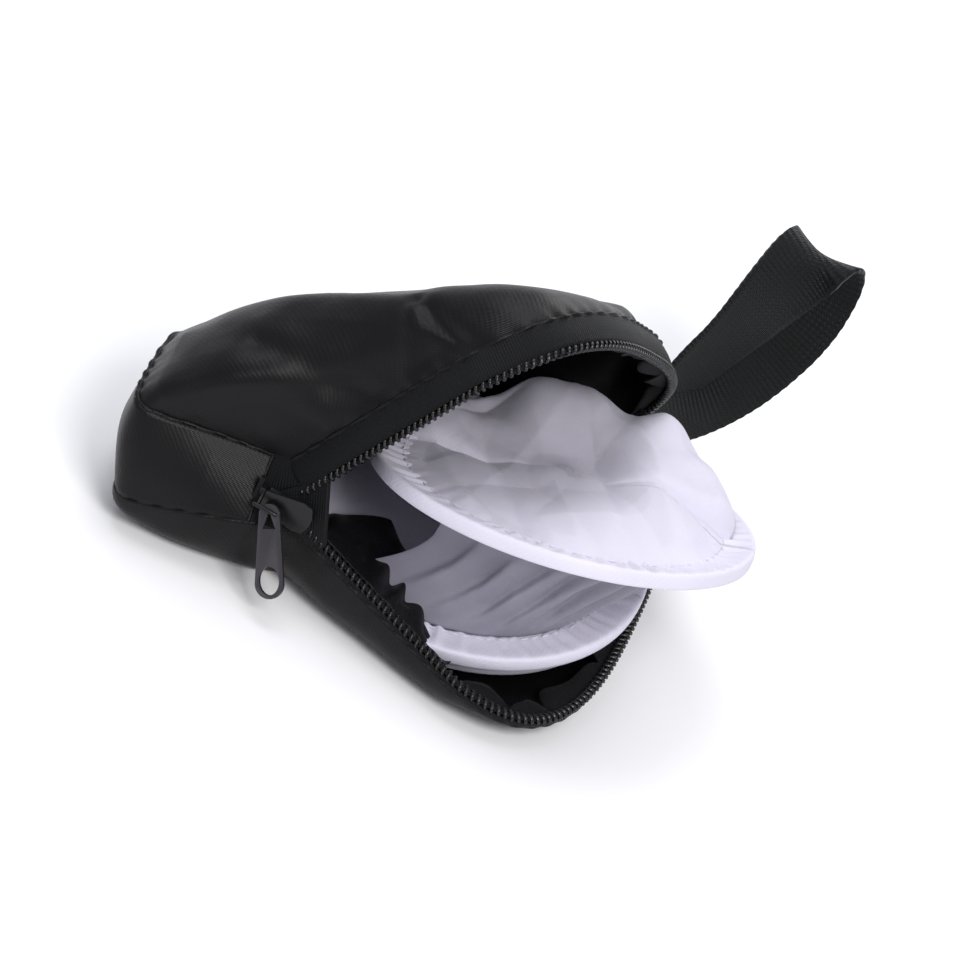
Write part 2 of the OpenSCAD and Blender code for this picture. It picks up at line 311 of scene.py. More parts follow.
def turned(points: np.ndarray, axis: np.ndarray, degrees: float) -> np.ndarray:
    """Turns points about an axis through the origin."""
    a = math.radians(degrees)
    return (points * math.cos(a) + np.cross(axis, points) * math.sin(a)
            + np.outer(points @ axis, axis) * (1 - math.cos(a)))


def waves(points: np.ndarray, seed: int, length: float, count: int = 7) -> np.ndarray:
    """A smooth random height at each point, about -1 to 1, with bumps of that length."""
    draw = np.random.default_rng(seed)
    total = np.zeros(points.shape[:-1])
    for _ in range(count):
        way = draw.normal(size=3)
        way /= np.linalg.norm(way)
        total += np.sin(points @ way * (2 * math.pi / length) * draw.uniform(0.6, 1.5) + draw.uniform(0, 6.3))
    return total / math.sqrt(count)


def crumple(points: np.ndarray, seed: int, length: float, count: int = 6) -> np.ndarray:
    """A height with sharp creases between flat facets, about -1 to 1."""
    draw = np.random.default_rng(seed)
    total = np.zeros(points.shape[:-1])
    for _ in range(count):
        way = draw.normal(size=3)
        way /= np.linalg.norm(way)
        bend = 0.25 * np.sin(points @ draw.normal(size=3) / length + draw.uniform(0, 6.3))
        phase = points @ way / length * draw.uniform(0.5, 1.3) + draw.uniform(0, 1) + bend
        total += np.abs((phase % 1.0) - 0.5) * 4 - 1
    return total / math.sqrt(count) * 0.8


def grid_normals(grid: np.ndarray, closed: bool = False) -> np.ndarray:
    """Unit normals of a grid of points, rows by columns."""
    du = np.roll(grid, -1, 0) - np.roll(grid, 1, 0) if closed else np.gradient(grid, axis=0)
    n = np.cross(du, np.gradient(grid, axis=1))
    return n / np.maximum(np.linalg.norm(n, axis=2, keepdims=True), 1e-9)


def segment_distance(grid: np.ndarray, a: np.ndarray, b: np.ndarray) -> np.ndarray:
    """Distance from each grid point to the segment from a to b."""
    d = b - a
    t = np.clip(((grid - a) @ d) / (d @ d), 0, 1)
    return np.linalg.norm(grid - a - t[..., None] * d, axis=-1)


@dataclass
class Layout:
    """Where the pouch's own measures, counted from the slider, lie in the part's frame."""

    mouth_z: float = 24.0
    slider_tail: float = -7.2
    slider_back: float = 2.1
    shift: np.ndarray = field(init=False)

    def __post_init__(self) -> None:
        """Reads the shift from the slider's box."""
        low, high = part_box("slider_body")
        self.shift = np.array([self.slider_tail - low.x / MM, self.slider_back - high.y / MM, 0.0])

    def row(self, points: np.ndarray) -> np.ndarray:
        """Turns points from the pouch's millimetres into the frame's metres."""
        return (np.asarray(points, float) - self.shift) * MM


class Maker:
    """Makes meshes in the part's frame and dresses them."""

    narrowest_cut = 0.012
    cut_spare = 1.2

    def __init__(self, layout: Layout, finishes: dict[Slot, bpy.types.Material]) -> None:
        """Keeps the layout and the finishes."""
        self.layout = layout
        self.finishes = finishes

    def mesh(self, name: str, points: np.ndarray, faces: list, slot: Slot,
             uv: np.ndarray | None = None, angle: float = 60.0) -> bpy.types.Object:
        """Makes one piece from points and faces.

        Args:
            name: The piece's name.
            points: Its points, in the pouch's millimetres.
            faces: Its faces, as lists of point numbers.
            slot: The slot that it takes its finish from.
            uv: Each point's place on the cloth, in metres.
            angle: Edges sharper than this stay sharp.

        Returns:
            The new object.
        """
        data = bpy.data.meshes.new(name)
        data.from_pydata(self.layout.row(points.reshape(-1, 3)).tolist(), [], faces)
        data.validate()
        if uv is not None:
            layer = data.uv_layers.new(name="cloth")
            corners = np.empty(len(data.loops), np.int32)
            data.loops.foreach_get("vertex_index", corners)
            layer.data.foreach_set("uv", uv.reshape(-1, 2)[corners].astype(np.float32).ravel())
        piece = bpy.data.objects.new(name, data)
        bpy.context.scene.collection.objects.link(piece)
        data.materials.append(self.finishes[slot])
        self.activate(piece)
        bpy.ops.object.shade_smooth_by_angle(angle=math.radians(angle))
        return piece

    def sheet(self, name: str, grid: np.ndarray, slot: Slot, thick: float = 0.0,
              closed: bool = False, flip: bool = False) -> bpy.types.Object:
        """Makes a cloth piece from a grid of points.

        Args:
            name: The piece's name.
            grid: Points, rows by columns, in the pouch's millimetres.
            slot: The slot that it takes its finish from.
            thick: The cloth's thickness, inward from the grid.
            closed: Whether the last row joins the first.
            flip: Whether the faces turn over.

        Returns:
            The new object.
        """
        rows, cols = grid.shape[:2]
        number = np.arange(rows * cols).reshape(rows, cols)
        after = np.roll(number, -1, 0) if closed else number[1:]
        first = number if closed else number[:-1]
        quads = np.stack([first[:, :-1], after[:, :-1], after[:, 1:], first[:, 1:]], -1).reshape(-1, 4)
        if flip:
            quads = quads[:, ::-1]
        along = np.cumsum(np.r_[[0], np.linalg.norm(np.diff(grid.mean(1), axis=0), axis=1)])
        across = np.cumsum(np.r_[[0], np.linalg.norm(np.diff(grid, axis=1), axis=2).mean(0)])
        uv = np.stack(np.meshgrid(along, across, indexing="ij"), -1) * MM
        piece = self.mesh(name, grid, quads.tolist(), slot, uv)
        if thick:
            self.solidify(piece, thick)
        return piece

    def tube(self, name: str, line: np.ndarray, radius: float, slot: Slot, sides: int = 8) -> bpy.types.Object:
        """Makes a round thread or cord along a line, with closed ends."""
        way = np.gradient(line, axis=0)
        way /= np.linalg.norm(way, axis=1, keepdims=True)
        side = np.cross(way, UP)
        bad = np.linalg.norm(side, axis=1) < 0.05
        side[bad] = np.cross(way[bad], [1.0, 0.0, 0.0])
        side /= np.linalg.norm(side, axis=1, keepdims=True)
        over = np.cross(side, way)
        angle = np.arange(sides) * 2 * math.pi / sides
        ring = side[:, None] * np.cos(angle)[None, :, None] + over[:, None] * np.sin(angle)[None, :, None]
        points = line[:, None] + ring * radius
        faces = [[i * sides + j, i * sides + (j + 1) % sides,
                  (i + 1) * sides + (j + 1) % sides, (i + 1) * sides + j]
                 for i in range(len(line) - 1) for j in range(sides)]
        last = (len(line) - 1) * sides
        faces += [list(range(sides))[::-1], [last + j for j in range(sides)]]
        run = np.r_[0, np.cumsum(np.linalg.norm(np.diff(line, axis=0), axis=1))]
        uv = np.stack(np.meshgrid(run, angle * radius, indexing="ij"), -1) * MM
        piece = self.mesh(name, points, faces, slot, uv)
        self.outward(piece)
        return piece

    def stitches(self, name: str, line: np.ndarray, slot: Slot, length: float = 2.0,
                 gap: float = 1.0, radius: float = 0.22) -> bpy.types.Object:
        """Makes a row of sewn stitches along a line, each a thread that dips at both ends."""
        run = float(np.linalg.norm(np.diff(line, axis=0), axis=1).sum())
        count = max(2, int(run / (length + gap)))
        dense = spaced(line, count * 6 + 1)
        points, faces = [], []
        for k in range(count):
            a, b = dense[6 * k], dense[6 * k + 4]
            way = (b - a) / np.linalg.norm(b - a)
            side = np.cross(way, UP)
            side /= max(np.linalg.norm(side), 1e-6)
            over = np.cross(side, way)
            base = len(points)
            for share, width in ((0.0, 0.35), (0.25, 1.0), (0.75, 1.0), (1.0, 0.35)):
                middle = a + (b - a) * share
                points += [middle + (side * c + over * s) * radius * width
                           for c, s in ((1, 0), (0, 1), (-1, 0), (0, -1))]
            faces += [[base + 4 * i + j, base + 4 * i + (j + 1) % 4,
                       base + 4 * i + 4 + (j + 1) % 4, base + 4 * i + 4 + j]
                      for i in range(3) for j in range(4)]
            faces += [[base + 3, base + 2, base + 1, base], [base + 12, base + 13, base + 14, base + 15]]
        piece = self.mesh(name, np.array(points), faces, slot, np.array(points)[:, :2] * MM)
        self.outward(piece)
        return piece

    @staticmethod
    def activate(piece: bpy.types.Object) -> None:
        """Selects one piece alone."""
        bpy.ops.object.select_all(action="DESELECT")
        piece.select_set(True)
        bpy.context.view_layer.objects.active = piece

    def outward(self, piece: bpy.types.Object) -> None:
        """Turns every face of a closed piece outwards."""
        self.activate(piece)
        bpy.ops.object.mode_set(mode="EDIT")
        bpy.ops.mesh.select_all(action="SELECT")
        bpy.ops.mesh.normals_make_consistent(inside=False)
        bpy.ops.object.mode_set(mode="OBJECT")

    def modify(self, piece: bpy.types.Object, kind: str, **settings: object) -> None:
        """Adds a modifier and applies it."""
        self.activate(piece)
        modifier = piece.modifiers.new(kind.lower(), kind)
        for key, value in settings.items():
            setattr(modifier, key, value)
        bpy.ops.object.modifier_apply(modifier=modifier.name)

    def solidify(self, piece: bpy.types.Object, thick: float) -> None:
        """Gives a sheet its thickness, inward."""
        self.modify(piece, "SOLIDIFY", thickness=thick * MM, offset=-1.0)

    def declare(self, piece: bpy.types.Object, grid: np.ndarray, held: str, rests_on: Sequence[str]) -> None:
        """Works out a sheet's flat size from its own finished grid, and keeps nothing of it.

        Args:
            piece: Not used.
            grid: Its points, rows by columns, in the pouch's millimetres.
            held: Not used.
            rests_on: Not used.
        """
        du, dv = np.diff(grid, axis=0)[:, :-1], np.diff(grid, axis=1)[:-1]
        area = float(np.linalg.norm(np.cross(du, dv), axis=2).sum()) * MM * MM
        width = float(np.linalg.norm(np.diff(grid, axis=1), axis=2).sum(1).max()) * MM
        area / width * self.cut_spare


# ---- the mouth's line --------------------------------------------------------


@dataclass
class Mouth:
    """The zip's line in plan: a straight near side and a rounded nose, and the two lips' turns."""

    near_run: float = 57.0
    near_flare: float = 14.5
    nose_len: float = 32.0
    nose_half: float = 54.3
    square: float = 2.8
    far_turn: float = 85.0
    lift: float = 69.0
    sag: float = 12.6
    mouth_z: float = 24.0
    start: float = 4.5

    def __post_init__(self) -> None:
        """Works out the line that both lips turn about."""
        self.end = self.nose(np.array([math.radians(self.far_turn)]))[0]
        self.axis = self.end / np.linalg.norm(self.end)

    def nose(self, angle: np.ndarray) -> np.ndarray:
        """Points of the nose at those angles."""
        power = 2 / self.square
        c, s = np.cos(angle), np.sin(angle)
        x = self.near_run + self.nose_len * np.sign(c) * np.abs(c) ** power
        y = self.nose_half - self.near_flare + self.nose_half * np.sign(s) * np.abs(s) ** power
        return np.stack([x, y, np.zeros_like(x)], 1)

    def outline(self, count: int, start: float | None = None) -> tuple[np.ndarray, np.ndarray]:
        """Evenly spaced points of the line, flat, and their outward directions."""
        near = np.linspace(0, 1, 60)[:, None] * np.array([[self.near_run, -self.near_flare, 0.0]])
        line = np.vstack([near[:-1], self.nose(np.radians(np.linspace(-90, self.far_turn, 240)))])
        line = spaced(line, 1200)
        run = np.r_[0, np.cumsum(np.linalg.norm(np.diff(line, axis=0), axis=1))]
        line = spaced(line[run >= (self.start if start is None else start)], count)
        way = np.gradient(line, axis=0)
        way /= np.linalg.norm(way, axis=1, keepdims=True)
        way = np.stack([np.convolve(np.pad(way[:, k], 4, "edge"), np.ones(9) / 9, "valid") for k in range(3)], 1)
        return line, np.stack([way[:, 1], -way[:, 0], way[:, 2]], 1)

    def lifted(self, flat: np.ndarray) -> np.ndarray:
        """Points of the upper lip, from its flat place."""
        return turned(flat.reshape(-1, 3), self.axis, -self.lift).reshape(flat.shape) + UP * self.mouth_z

    def sagged(self, flat: np.ndarray) -> np.ndarray:
        """Points of the lower lip, from its flat place, where its thickness points down."""
        return turned(flat.reshape(-1, 3), self.axis, self.sag).reshape(flat.shape) + UP * self.mouth_z


@dataclass
class Zip:
    """Both rows of the zip: tapes, coils, stitches, and the seam allowances inside them."""

    maker: Maker
    mouth: Mouth
    tape_w: float = 9.0
    low_tape_w: float = 2.6
    coil_w: float = 3.0
    coil_h: float = 2.5
    coil_out: float = 1.55
    pitch: float = 1.85
    wire: float = 0.46

    def section(self, out: Sequence[float], back: Sequence[float], count: int, upper: bool) -> np.ndarray:
        """Sweeps a section of the lip, given outward and backward from the zip's line."""
        line, side = self.mouth.outline(count)
        sign = 1.0 if upper else -1.0
        flat = (line[:, None] + side[:, None] * np.array(out)[None, :, None]
                + UP * (sign * np.array(back))[None, :, None])
        return self.mouth.lifted(flat) if upper else self.mouth.sagged(flat)

    def coil(self, name: str, upper: bool) -> bpy.types.Object:
        """Winds the nylon coil along a lip."""
        line, side = self.mouth.outline(900, 4.0)
        run = np.r_[0, np.cumsum(np.linalg.norm(np.diff(line, axis=0), axis=1))]
        turns = int((run[-1] - 9.0) / self.pitch)
        steps = 11
        s = np.arange(turns * steps) / steps
        at = s * self.pitch
        middle = np.stack([np.interp(at, run, line[:, k]) for k in range(3)], 1)
        out = np.stack([np.interp(at, run, side[:, k]) for k in range(3)], 1)
        angle = 2 * math.pi * s
        half_w, half_h = self.coil_w / 2 - self.wire, self.coil_h / 2 - self.wire
        reach = self.coil_out - self.coil_w / 2 + half_w * np.cos(angle)
        back = 0.1 + self.coil_h / 2 + half_h * np.sin(angle)
        sign = 1.0 if upper else -1.0
        flat = middle + out * reach[:, None] + UP * (sign * back)[:, None]
        path = self.mouth.lifted(flat) if upper else self.mouth.sagged(flat)
        return self.maker.tube(name, path, self.wire, Slot.COIL, 6)

    def build(self) -> None:
        """Makes both lips."""
        maker = self.maker
        curl = np.linspace(0, 1, 9)
        up = self.section(0.3 + 0.5 * np.sin(math.pi * curl), 2.3 + (self.tape_w - 1.7) * curl, 260, True)
        tape = maker.sheet("upper_tape_cloth", up, Slot.TAPE, 0.7, flip=True)
        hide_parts("upper_zip_tape")
        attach(tape, Body.LID.value)
        maker.declare(tape, up, "stretched", ["upper_zip_coil"])
        low = self.section(0.35 + 0.3 * np.sin(math.pi * curl), 2.3 + (self.low_tape_w - 1.3) * curl, 260, False)
        tape = maker.sheet("lower_tape_cloth", low, Slot.TAPE, 0.6)
        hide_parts("lower_zip_tape")
        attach(tape, Body.LIP.value)
        for upper, body in ((True, Body.LID), (False, Body.LIP)):
            word = "upper" if upper else "lower"
            coil = self.coil(f"{word}_coil_turns", upper)
            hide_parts(f"{word}_zip_coil")
            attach(coil, body.value)
            core = self.section([self.coil_out - self.coil_w / 2], [self.coil_h / 2 + 0.1], 220, upper)[:, 0]
            cord = maker.tube(f"{word}_coil_core", core, 0.62, Slot.TAPE, 6)
            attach(cord, body.value)
            for k, back in enumerate((2.9, self.tape_w - 1.0) if upper else (2.8,)):
                row = self.section([0.85], [back], 600, upper)[:, 0]
                sewn = maker.stitches(f"{word}_tape_stitches_{k}", row, Slot.SEAM, 1.9, 0.8, 0.2)
                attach(sewn, body.value)
            lobes = self.allowance(upper)
            cloth = maker.sheet(f"{word}_allowance_cloth", lobes, Slot.SEAM, 0.45, flip=not upper)
            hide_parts(f"{word}_seam_allowance")
            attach(cloth, body.value)
            maker.declare(cloth, lobes, "stretched", [f"{word}_zip_coil"])
            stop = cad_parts[f"{word}_top_stop"]
            dress(stop, maker.finishes[Slot.COIL])

    def allowance(self, upper: bool) -> np.ndarray:
        """The trimmed cloth edge inside the coil, with its notched lobes."""
        line, side = self.mouth.outline(420, 9.0)
        share = np.linspace(0, 1, 420)
        deep, shallow = (6.5, 1.8) if upper else (9.0, 1.6)
        lobe = np.abs(np.sin(share * math.pi * 9 + 0.8 * np.sin(share * 17))) ** 0.5
        depth = shallow + (deep - shallow) * lobe * (0.55 + 0.45 * np.sin(share * 23 + 1.0) ** 2)
        depth *= np.clip(np.minimum(share, 1 - share) * 12, 0.15, 1)
        across = np.linspace(0, 1, 6)
        reach = -0.2 - depth[:, None] * across[None, :]
        droop = 1.2 * np.sin(share * 31)[:, None] + 0.25 * depth[:, None]
        back = self.coil_h + 0.35 + across[None, :] ** 1.5 * droop
        sign = 1.0 if upper else -1.0
        flat = line[:, None] + side[:, None] * reach[..., None] + UP * (sign * back)[..., None]
        return self.mouth.lifted(flat) if upper else self.mouth.sagged(flat)


def dress(node: bpy.types.Object, material: bpy.types.Material) -> None:
    """Gives a CAD node a finish."""
    if node.material_slots:
        for place in node.material_slots:
            place.material = material
    else:
        node.data.materials.append(material)


@dataclass(frozen=True)
class Fold:
    """A crease in the hood, between two places on it, given by their shares of its two ways."""

    start: tuple[float, float]
    end: tuple[float, float]
    width: float
    depth: float


@dataclass
class Pouch:
    """The pouch's cloth: hood, end gusset, and the lower shell with its belly."""

    maker: Maker
    mouth: Mouth
    middle: tuple[float, float] = (37.5, 40.5)
    far_r: float = 53.2
    gusset_low: float = 12.2
    gusset_top: float = 28.3
    seam_back: float = 9.7
    top_start: tuple = ((-9.9, 5.0, 31.0), (-22.0, 1.6, 31.8), (-37.0, -4.0, 32.2), (-43.5, -5.5, 32.4),
                        (-46.0, -1.0, 32.6), (-46.6, 12.0, 32.6), (-46.6, 26.0, 32.4), (-44.5, 32.0, 32.0),
                        (-39.0, 36.0, 30.5))
    low_start: tuple = ((-7.6, -5.0, 17.6), (-20.0, -8.0, 14.4), (-34.0, -10.0, 10.2), (-38.6, -9.5, 9.6),
                        (-41.0, -5.0, 9.6), (-42.4, 8.0, 10.0), (-42.8, 24.0, 11.0), (-42.0, 31.0, 12.0),
                        (-38.0, 35.5, 12.2))
    folds: tuple[Fold, ...] = (
        Fold((0.04, 0.62), (0.62, 0.42), 5.0, 1.1),
        Fold((0.30, 0.03), (0.35, 0.36), 2.6, -1.9),
        Fold((0.21, 0.05), (0.34, 0.34), 3.4, 1.5),
        Fold((0.26, 0.04), (0.16, 0.30), 5.0, -1.2),
        Fold((0.16, 0.10), (0.24, 0.62), 3.5, -1.2),
        Fold((0.62, 0.03), (0.58, 0.60), 4.0, 1.4),
        Fold((0.70, 0.10), (0.66, 0.80), 4.5, -1.4),
        Fold((0.80, 0.05), (0.78, 0.70), 4.0, 1.2),
        Fold((0.10, 0.15), (0.30, 0.92), 5.0, 1.0),
    )

    def rear_seam(self, top: bool, count: int) -> np.ndarray:
        """One long seam of the end gusset, from the slider round the narrow end to the strap.

        Args:
            top: Whether it is the upper seam.
            count: How many points come back.

        Returns:
            The seam's points.
        """
        turn = np.radians(np.arange(138, 89, -8.0))
        rise = self.gusset_top if top else self.gusset_low
        arc = np.column_stack([self.middle[0] + self.far_r * np.cos(turn),
                               self.middle[1] + self.far_r * np.sin(turn), np.full(len(turn), rise)])
        start = self.top_start if top else self.low_start
        return smooth_line(np.vstack([start, arc, [[50.0, 94.0, rise], [61.5, 94.0, rise]]]), count, 2)

    def hood_grid(self, count: int = 240, rows: int = 110) -> np.ndarray:
        """The top panel at rest, from the upper tape's seam to the gusset's top edge."""
        line, side = self.mouth.outline(count, 1.0)
        seam = self.mouth.lifted(line + side * 0.75 + UP * self.seam_back)
        base = self.rear_seam(True, count)
        back = turned(UP[None], self.mouth.axis, -self.mouth.lift)[0]
        span = np.linalg.norm(base - seam, axis=1)[:, None]
        inner = np.array([*self.middle, 0.0]) - base
        inner[:, 2] = 0
        inner /= np.linalg.norm(inner, axis=1, keepdims=True)
        leave = back * span * 0.48
        arrive = (-inner * 0.46 - UP * 0.9) * span * 0.8
        v = np.linspace(0, 1, rows)[None, :, None]
        grid = ((2 * v ** 3 - 3 * v ** 2 + 1) * seam[:, None] + (v ** 3 - 2 * v ** 2 + v) * leave[:, None]
                + (3 * v ** 2 - 2 * v ** 3) * base[:, None] + (v ** 3 - v ** 2) * arrive[:, None])
        return self.wrinkled(grid)

    def wrinkled(self, grid: np.ndarray) -> np.ndarray:
        """Adds the hood's folds, seam tucks and slack."""
        rows, cols = grid.shape[:2]
        out = grid_normals(grid)
        if out[rows // 2, cols // 2, 2] < 0:
            out = -out
        u = np.linspace(0, 1, rows)[:, None]
        v = np.linspace(0, 1, cols)[None, :]
        edge = np.clip(np.minimum(v, 1 - v) * 9, 0, 1) * np.clip(np.minimum(u, 1 - u) * 8, 0, 1)
        lift = waves(grid, 4, 46.0) * 0.6 + crumple(grid, 9, 60.0, 5) * 0.8 + waves(grid, 6, 17.0) * 0.16
        for fold in self.folds:
            ends = [grid[int(p[0] * (rows - 1)), int(p[1] * (cols - 1))] for p in (fold.start, fold.end)]
            lift = lift + fold.depth * np.exp(-(segment_distance(grid, *ends) / fold.width) ** 2)
        tucks = np.sin(u * 2 * math.pi * 34 + 2.5 * np.sin(u * 29)) * np.exp(-np.minimum(v, 1 - v) * 26) * 0.32
        return grid + out * (lift * edge + tucks * np.clip(np.minimum(u, 1 - u) * 20, 0, 1))[..., None]

    def gusset_grid(self) -> np.ndarray:
        """The end gusset, with its slack between the two seams."""
        top, low = self.rear_seam(True, 260), self.rear_seam(False, 260)
        up = np.linspace(0, 1, 18)[None, :, None]
        grid = low[:, None] * (1 - up) + top[:, None] * up
        out = grid_normals(grid)
        away = grid[60, 9] - np.array([*self.middle, 20.0])
        out *= np.sign(out[60, 9] @ away)
        slack = np.sin(math.pi * up[..., 0]) * (1.5 + 0.7 * waves(grid, 21, 30.0))
        return grid + out * (slack * np.clip(np.linspace(0, 1, 260) * 14, 0, 1)[:, None])[..., None]

    def lower_grid(self) -> np.ndarray:
        """The lower shell, from its top edge over the belly to the middle of the bottom."""
        line, side = self.mouth.outline(260, 0.5)
        lip = self.mouth.sagged(line + side * 0.7 - UP * 3.3)
        rear = self.rear_seam(False, 220)[::-1]
        join = np.linspace(0, 1, 10)[1:-1, None]
        near = rear[-1] * (1 - join) + lip[0] * join
        top = np.vstack([lip, rear, near])
        count = len(top)
        centre = np.array([30.0, 38.0, 0.0])
        flat = top * [1, 1, 0]
        out = flat - centre
        out /= np.linalg.norm(out, axis=1, keepdims=True)
        nose = np.clip((flat[:, :1] - 52.0) / 32.0, 0, 1)
        foot = centre + (flat - centre) * (0.80 - 0.10 * nose) + UP * 0.7
        belly = flat + out * (0.6 - 3.0 * nose) + UP * (top[:, 2:] * (0.16 + 0.2 * nose))
        t = np.linspace(0, 1, 26)[None, :, None]
        wall = (1 - t) ** 2 * top[:, None] + 2 * t * (1 - t) * belly[:, None] + t ** 2 * foot[:, None]
        s = np.linspace(0, 1, 12)[None, 1:, None]
        bottom = foot[:, None] * (1 - s) + (centre + UP * 0.7 + out * 0.5)[:, None] * s
        grid = np.concatenate([wall, bottom], 1)
        normal = grid_normals(grid, True)
        normal *= np.sign((normal[:, 8] * out).sum(1).mean())
        depth = np.sin(np.linspace(0, 1, 26) * math.pi)
        depth = np.r_[depth, np.zeros(11)][None, :]
        slack = waves(grid, 31, 34.0) * 0.55 + waves(grid, 33, 14.0) * 0.12
        share = np.linspace(0, 1, count)[:, None]
        tucks = np.sin(share * 2 * math.pi * 70 + np.sin(share * 60)) * np.exp(-np.arange(37)[None] * 0.35) * 0.16
        return grid + normal * (slack * depth + tucks)[..., None]

    def seam_cord(self, name: str, line: np.ndarray, radius: float = 0.55) -> bpy.types.Object:
        """The rolled edge along a seam."""
        return self.maker.tube(name, line, radius, Slot.NYLON, 8)

    def build(self) -> None:
        """Makes the pouch's cloth."""
        maker = self.maker
        hood = self.hood_grid()
        piece = maker.sheet("hood_cloth", hood, Slot.NYLON, 0.5)
        self.maker.outward(piece)
        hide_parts("top_panel_rear", "top_panel_front")
        maker.declare(piece, hood, "stretched", ["end_gusset"])
        self.blend_hood(piece)
        edge = self.seam_cord("hood_front_seam", hood[:, 0] + (hood[:, 0] - hood[:, 2]) * 0.05, 0.6)
        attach(edge, Body.LID.value)
        edge = self.seam_cord("hood_rear_seam", hood[4:-6, -1], 0.7)
        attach(edge, Body.POUCH.value)
        gusset = self.gusset_grid()
        piece = maker.sheet("gusset_cloth", gusset, Slot.NYLON, 0.6)
        self.maker.outward(piece)
        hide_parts("end_gusset")
        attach(piece, Body.POUCH.value)
        maker.declare(piece, gusset, "stretched", ["bottom_panel"])
        for name, column in (("gusset_low_seam", 0), ("gusset_top_seam", -1)):
            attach(self.seam_cord(name, gusset[:, column], 0.5), Body.POUCH.value)
        self.near_end()
        self.lining()
        lower = self.lower_grid()
        piece = maker.sheet("belly_cloth", lower, Slot.NYLON, 0.6, closed=True)
        self.maker.outward(piece)
        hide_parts("bottom_panel")
        maker.declare(piece, lower, "stretched", ["floor"])
        normal = turned(UP[None], self.mouth.axis, self.mouth.sag)[0]
        plane = self.maker.layout.row(np.array([0, 0, self.mouth.mouth_z]))
        plane - normal * 16 * MM
        plane - normal * 4 * MM
        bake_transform(piece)

    def near_end(self) -> None:
        """The closed end of the zip, from the gusset's end seam to where the two lips part."""
        line, side = self.mouth.outline(400, 0.4)
        at = 24
        upper = self.mouth.lifted(line[at] + side[at] * 0.5 + UP * np.linspace(9.6, 0.2, 12)[:, None])
        lower = self.mouth.sagged(line[at] + side[at] * 0.5 - UP * np.linspace(0.2, 3.4, 6)[:, None])
        right = np.vstack([upper, lower])
        left = smooth_line(np.array([[-9.9, 5.0, 31.0], [-9.3, 1.5, 25.9], [-8.4, -2.0, 21.0], [-7.6, -5.0, 17.6]]),
                           len(right), 2)
        share = np.linspace(0, 1, 20)[:, None, None]
        grid = left[None] * (1 - share) + right[None] * share
        grid[..., 1] += 1.6 * np.sin(math.pi * share[..., 0])
        for word, cut, body in (("upper", slice(0, 12), Body.LID), ("lower", slice(11, None), Body.LIP)):
            piece = self.maker.sheet(f"near_end_{word}", grid[:, cut], Slot.TAPE, 0.6)
            self.maker.outward(piece)
            place = self.maker.layout.row(np.array([-9.0, -1.0, self.mouth.mouth_z]))
            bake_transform(piece)
        seam = self.maker.tube("near_end_seam", left + np.array([-0.2, -0.5, 0.0]), 0.6, Slot.NYLON)
        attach(seam, Body.POUCH.value)

    def lining(self) -> None:
        """The loose lining that stands inside the mouth next to the slider."""
        line, side = self.mouth.outline(500, 1.0)
        run = np.linspace(0, 52, 150)
        away = np.r_[0, np.cumsum(np.linalg.norm(np.diff(line, axis=0), axis=1))]
        line, side = (np.stack([np.interp(run, away, part[:, k]) for k in range(3)], 1) for part in (line, side))
        depth = np.interp(run, [0, 6, 16, 27, 36, 52], [4, 14, 24, 23, 13, 7])
        across = np.linspace(0, 1, 44)[None, :]
        reach = -3.2 - depth[:, None] * across
        drop = 2.6 + 3.0 * across ** 1.3 + 1.5 * np.sin(run * 0.33)[:, None] * across
        flat = line[:, None] + side[:, None] * reach[..., None] - UP * drop[..., None]
        grid = self.mouth.sagged(flat)
        way = np.sin(run[:, None] * 0.62 + 2 * np.sin(run * 0.21)[:, None] + across * 2.2) * np.sin(math.pi * across)
        grid = grid + grid_normals(grid) * (way * 1.5)[..., None]
        piece = self.maker.sheet("mouth_lining", grid, Slot.NYLON, 0.3)
        self.maker.outward(piece)
        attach(piece, Body.LIP.value)
        self.maker.declare(piece, grid, "hung", ["lower_coil_turns"])

    def blend_hood(self, piece: bpy.types.Object) -> None:
        """Bakes the hood's transform into its mesh; the hood is not bent between the pouch and the lid."""
        plane = self.maker.layout.row(np.array([0, 0, self.mouth.mouth_z]))
        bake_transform(piece)


# ---- the disc's loops --------------------------------------------------------


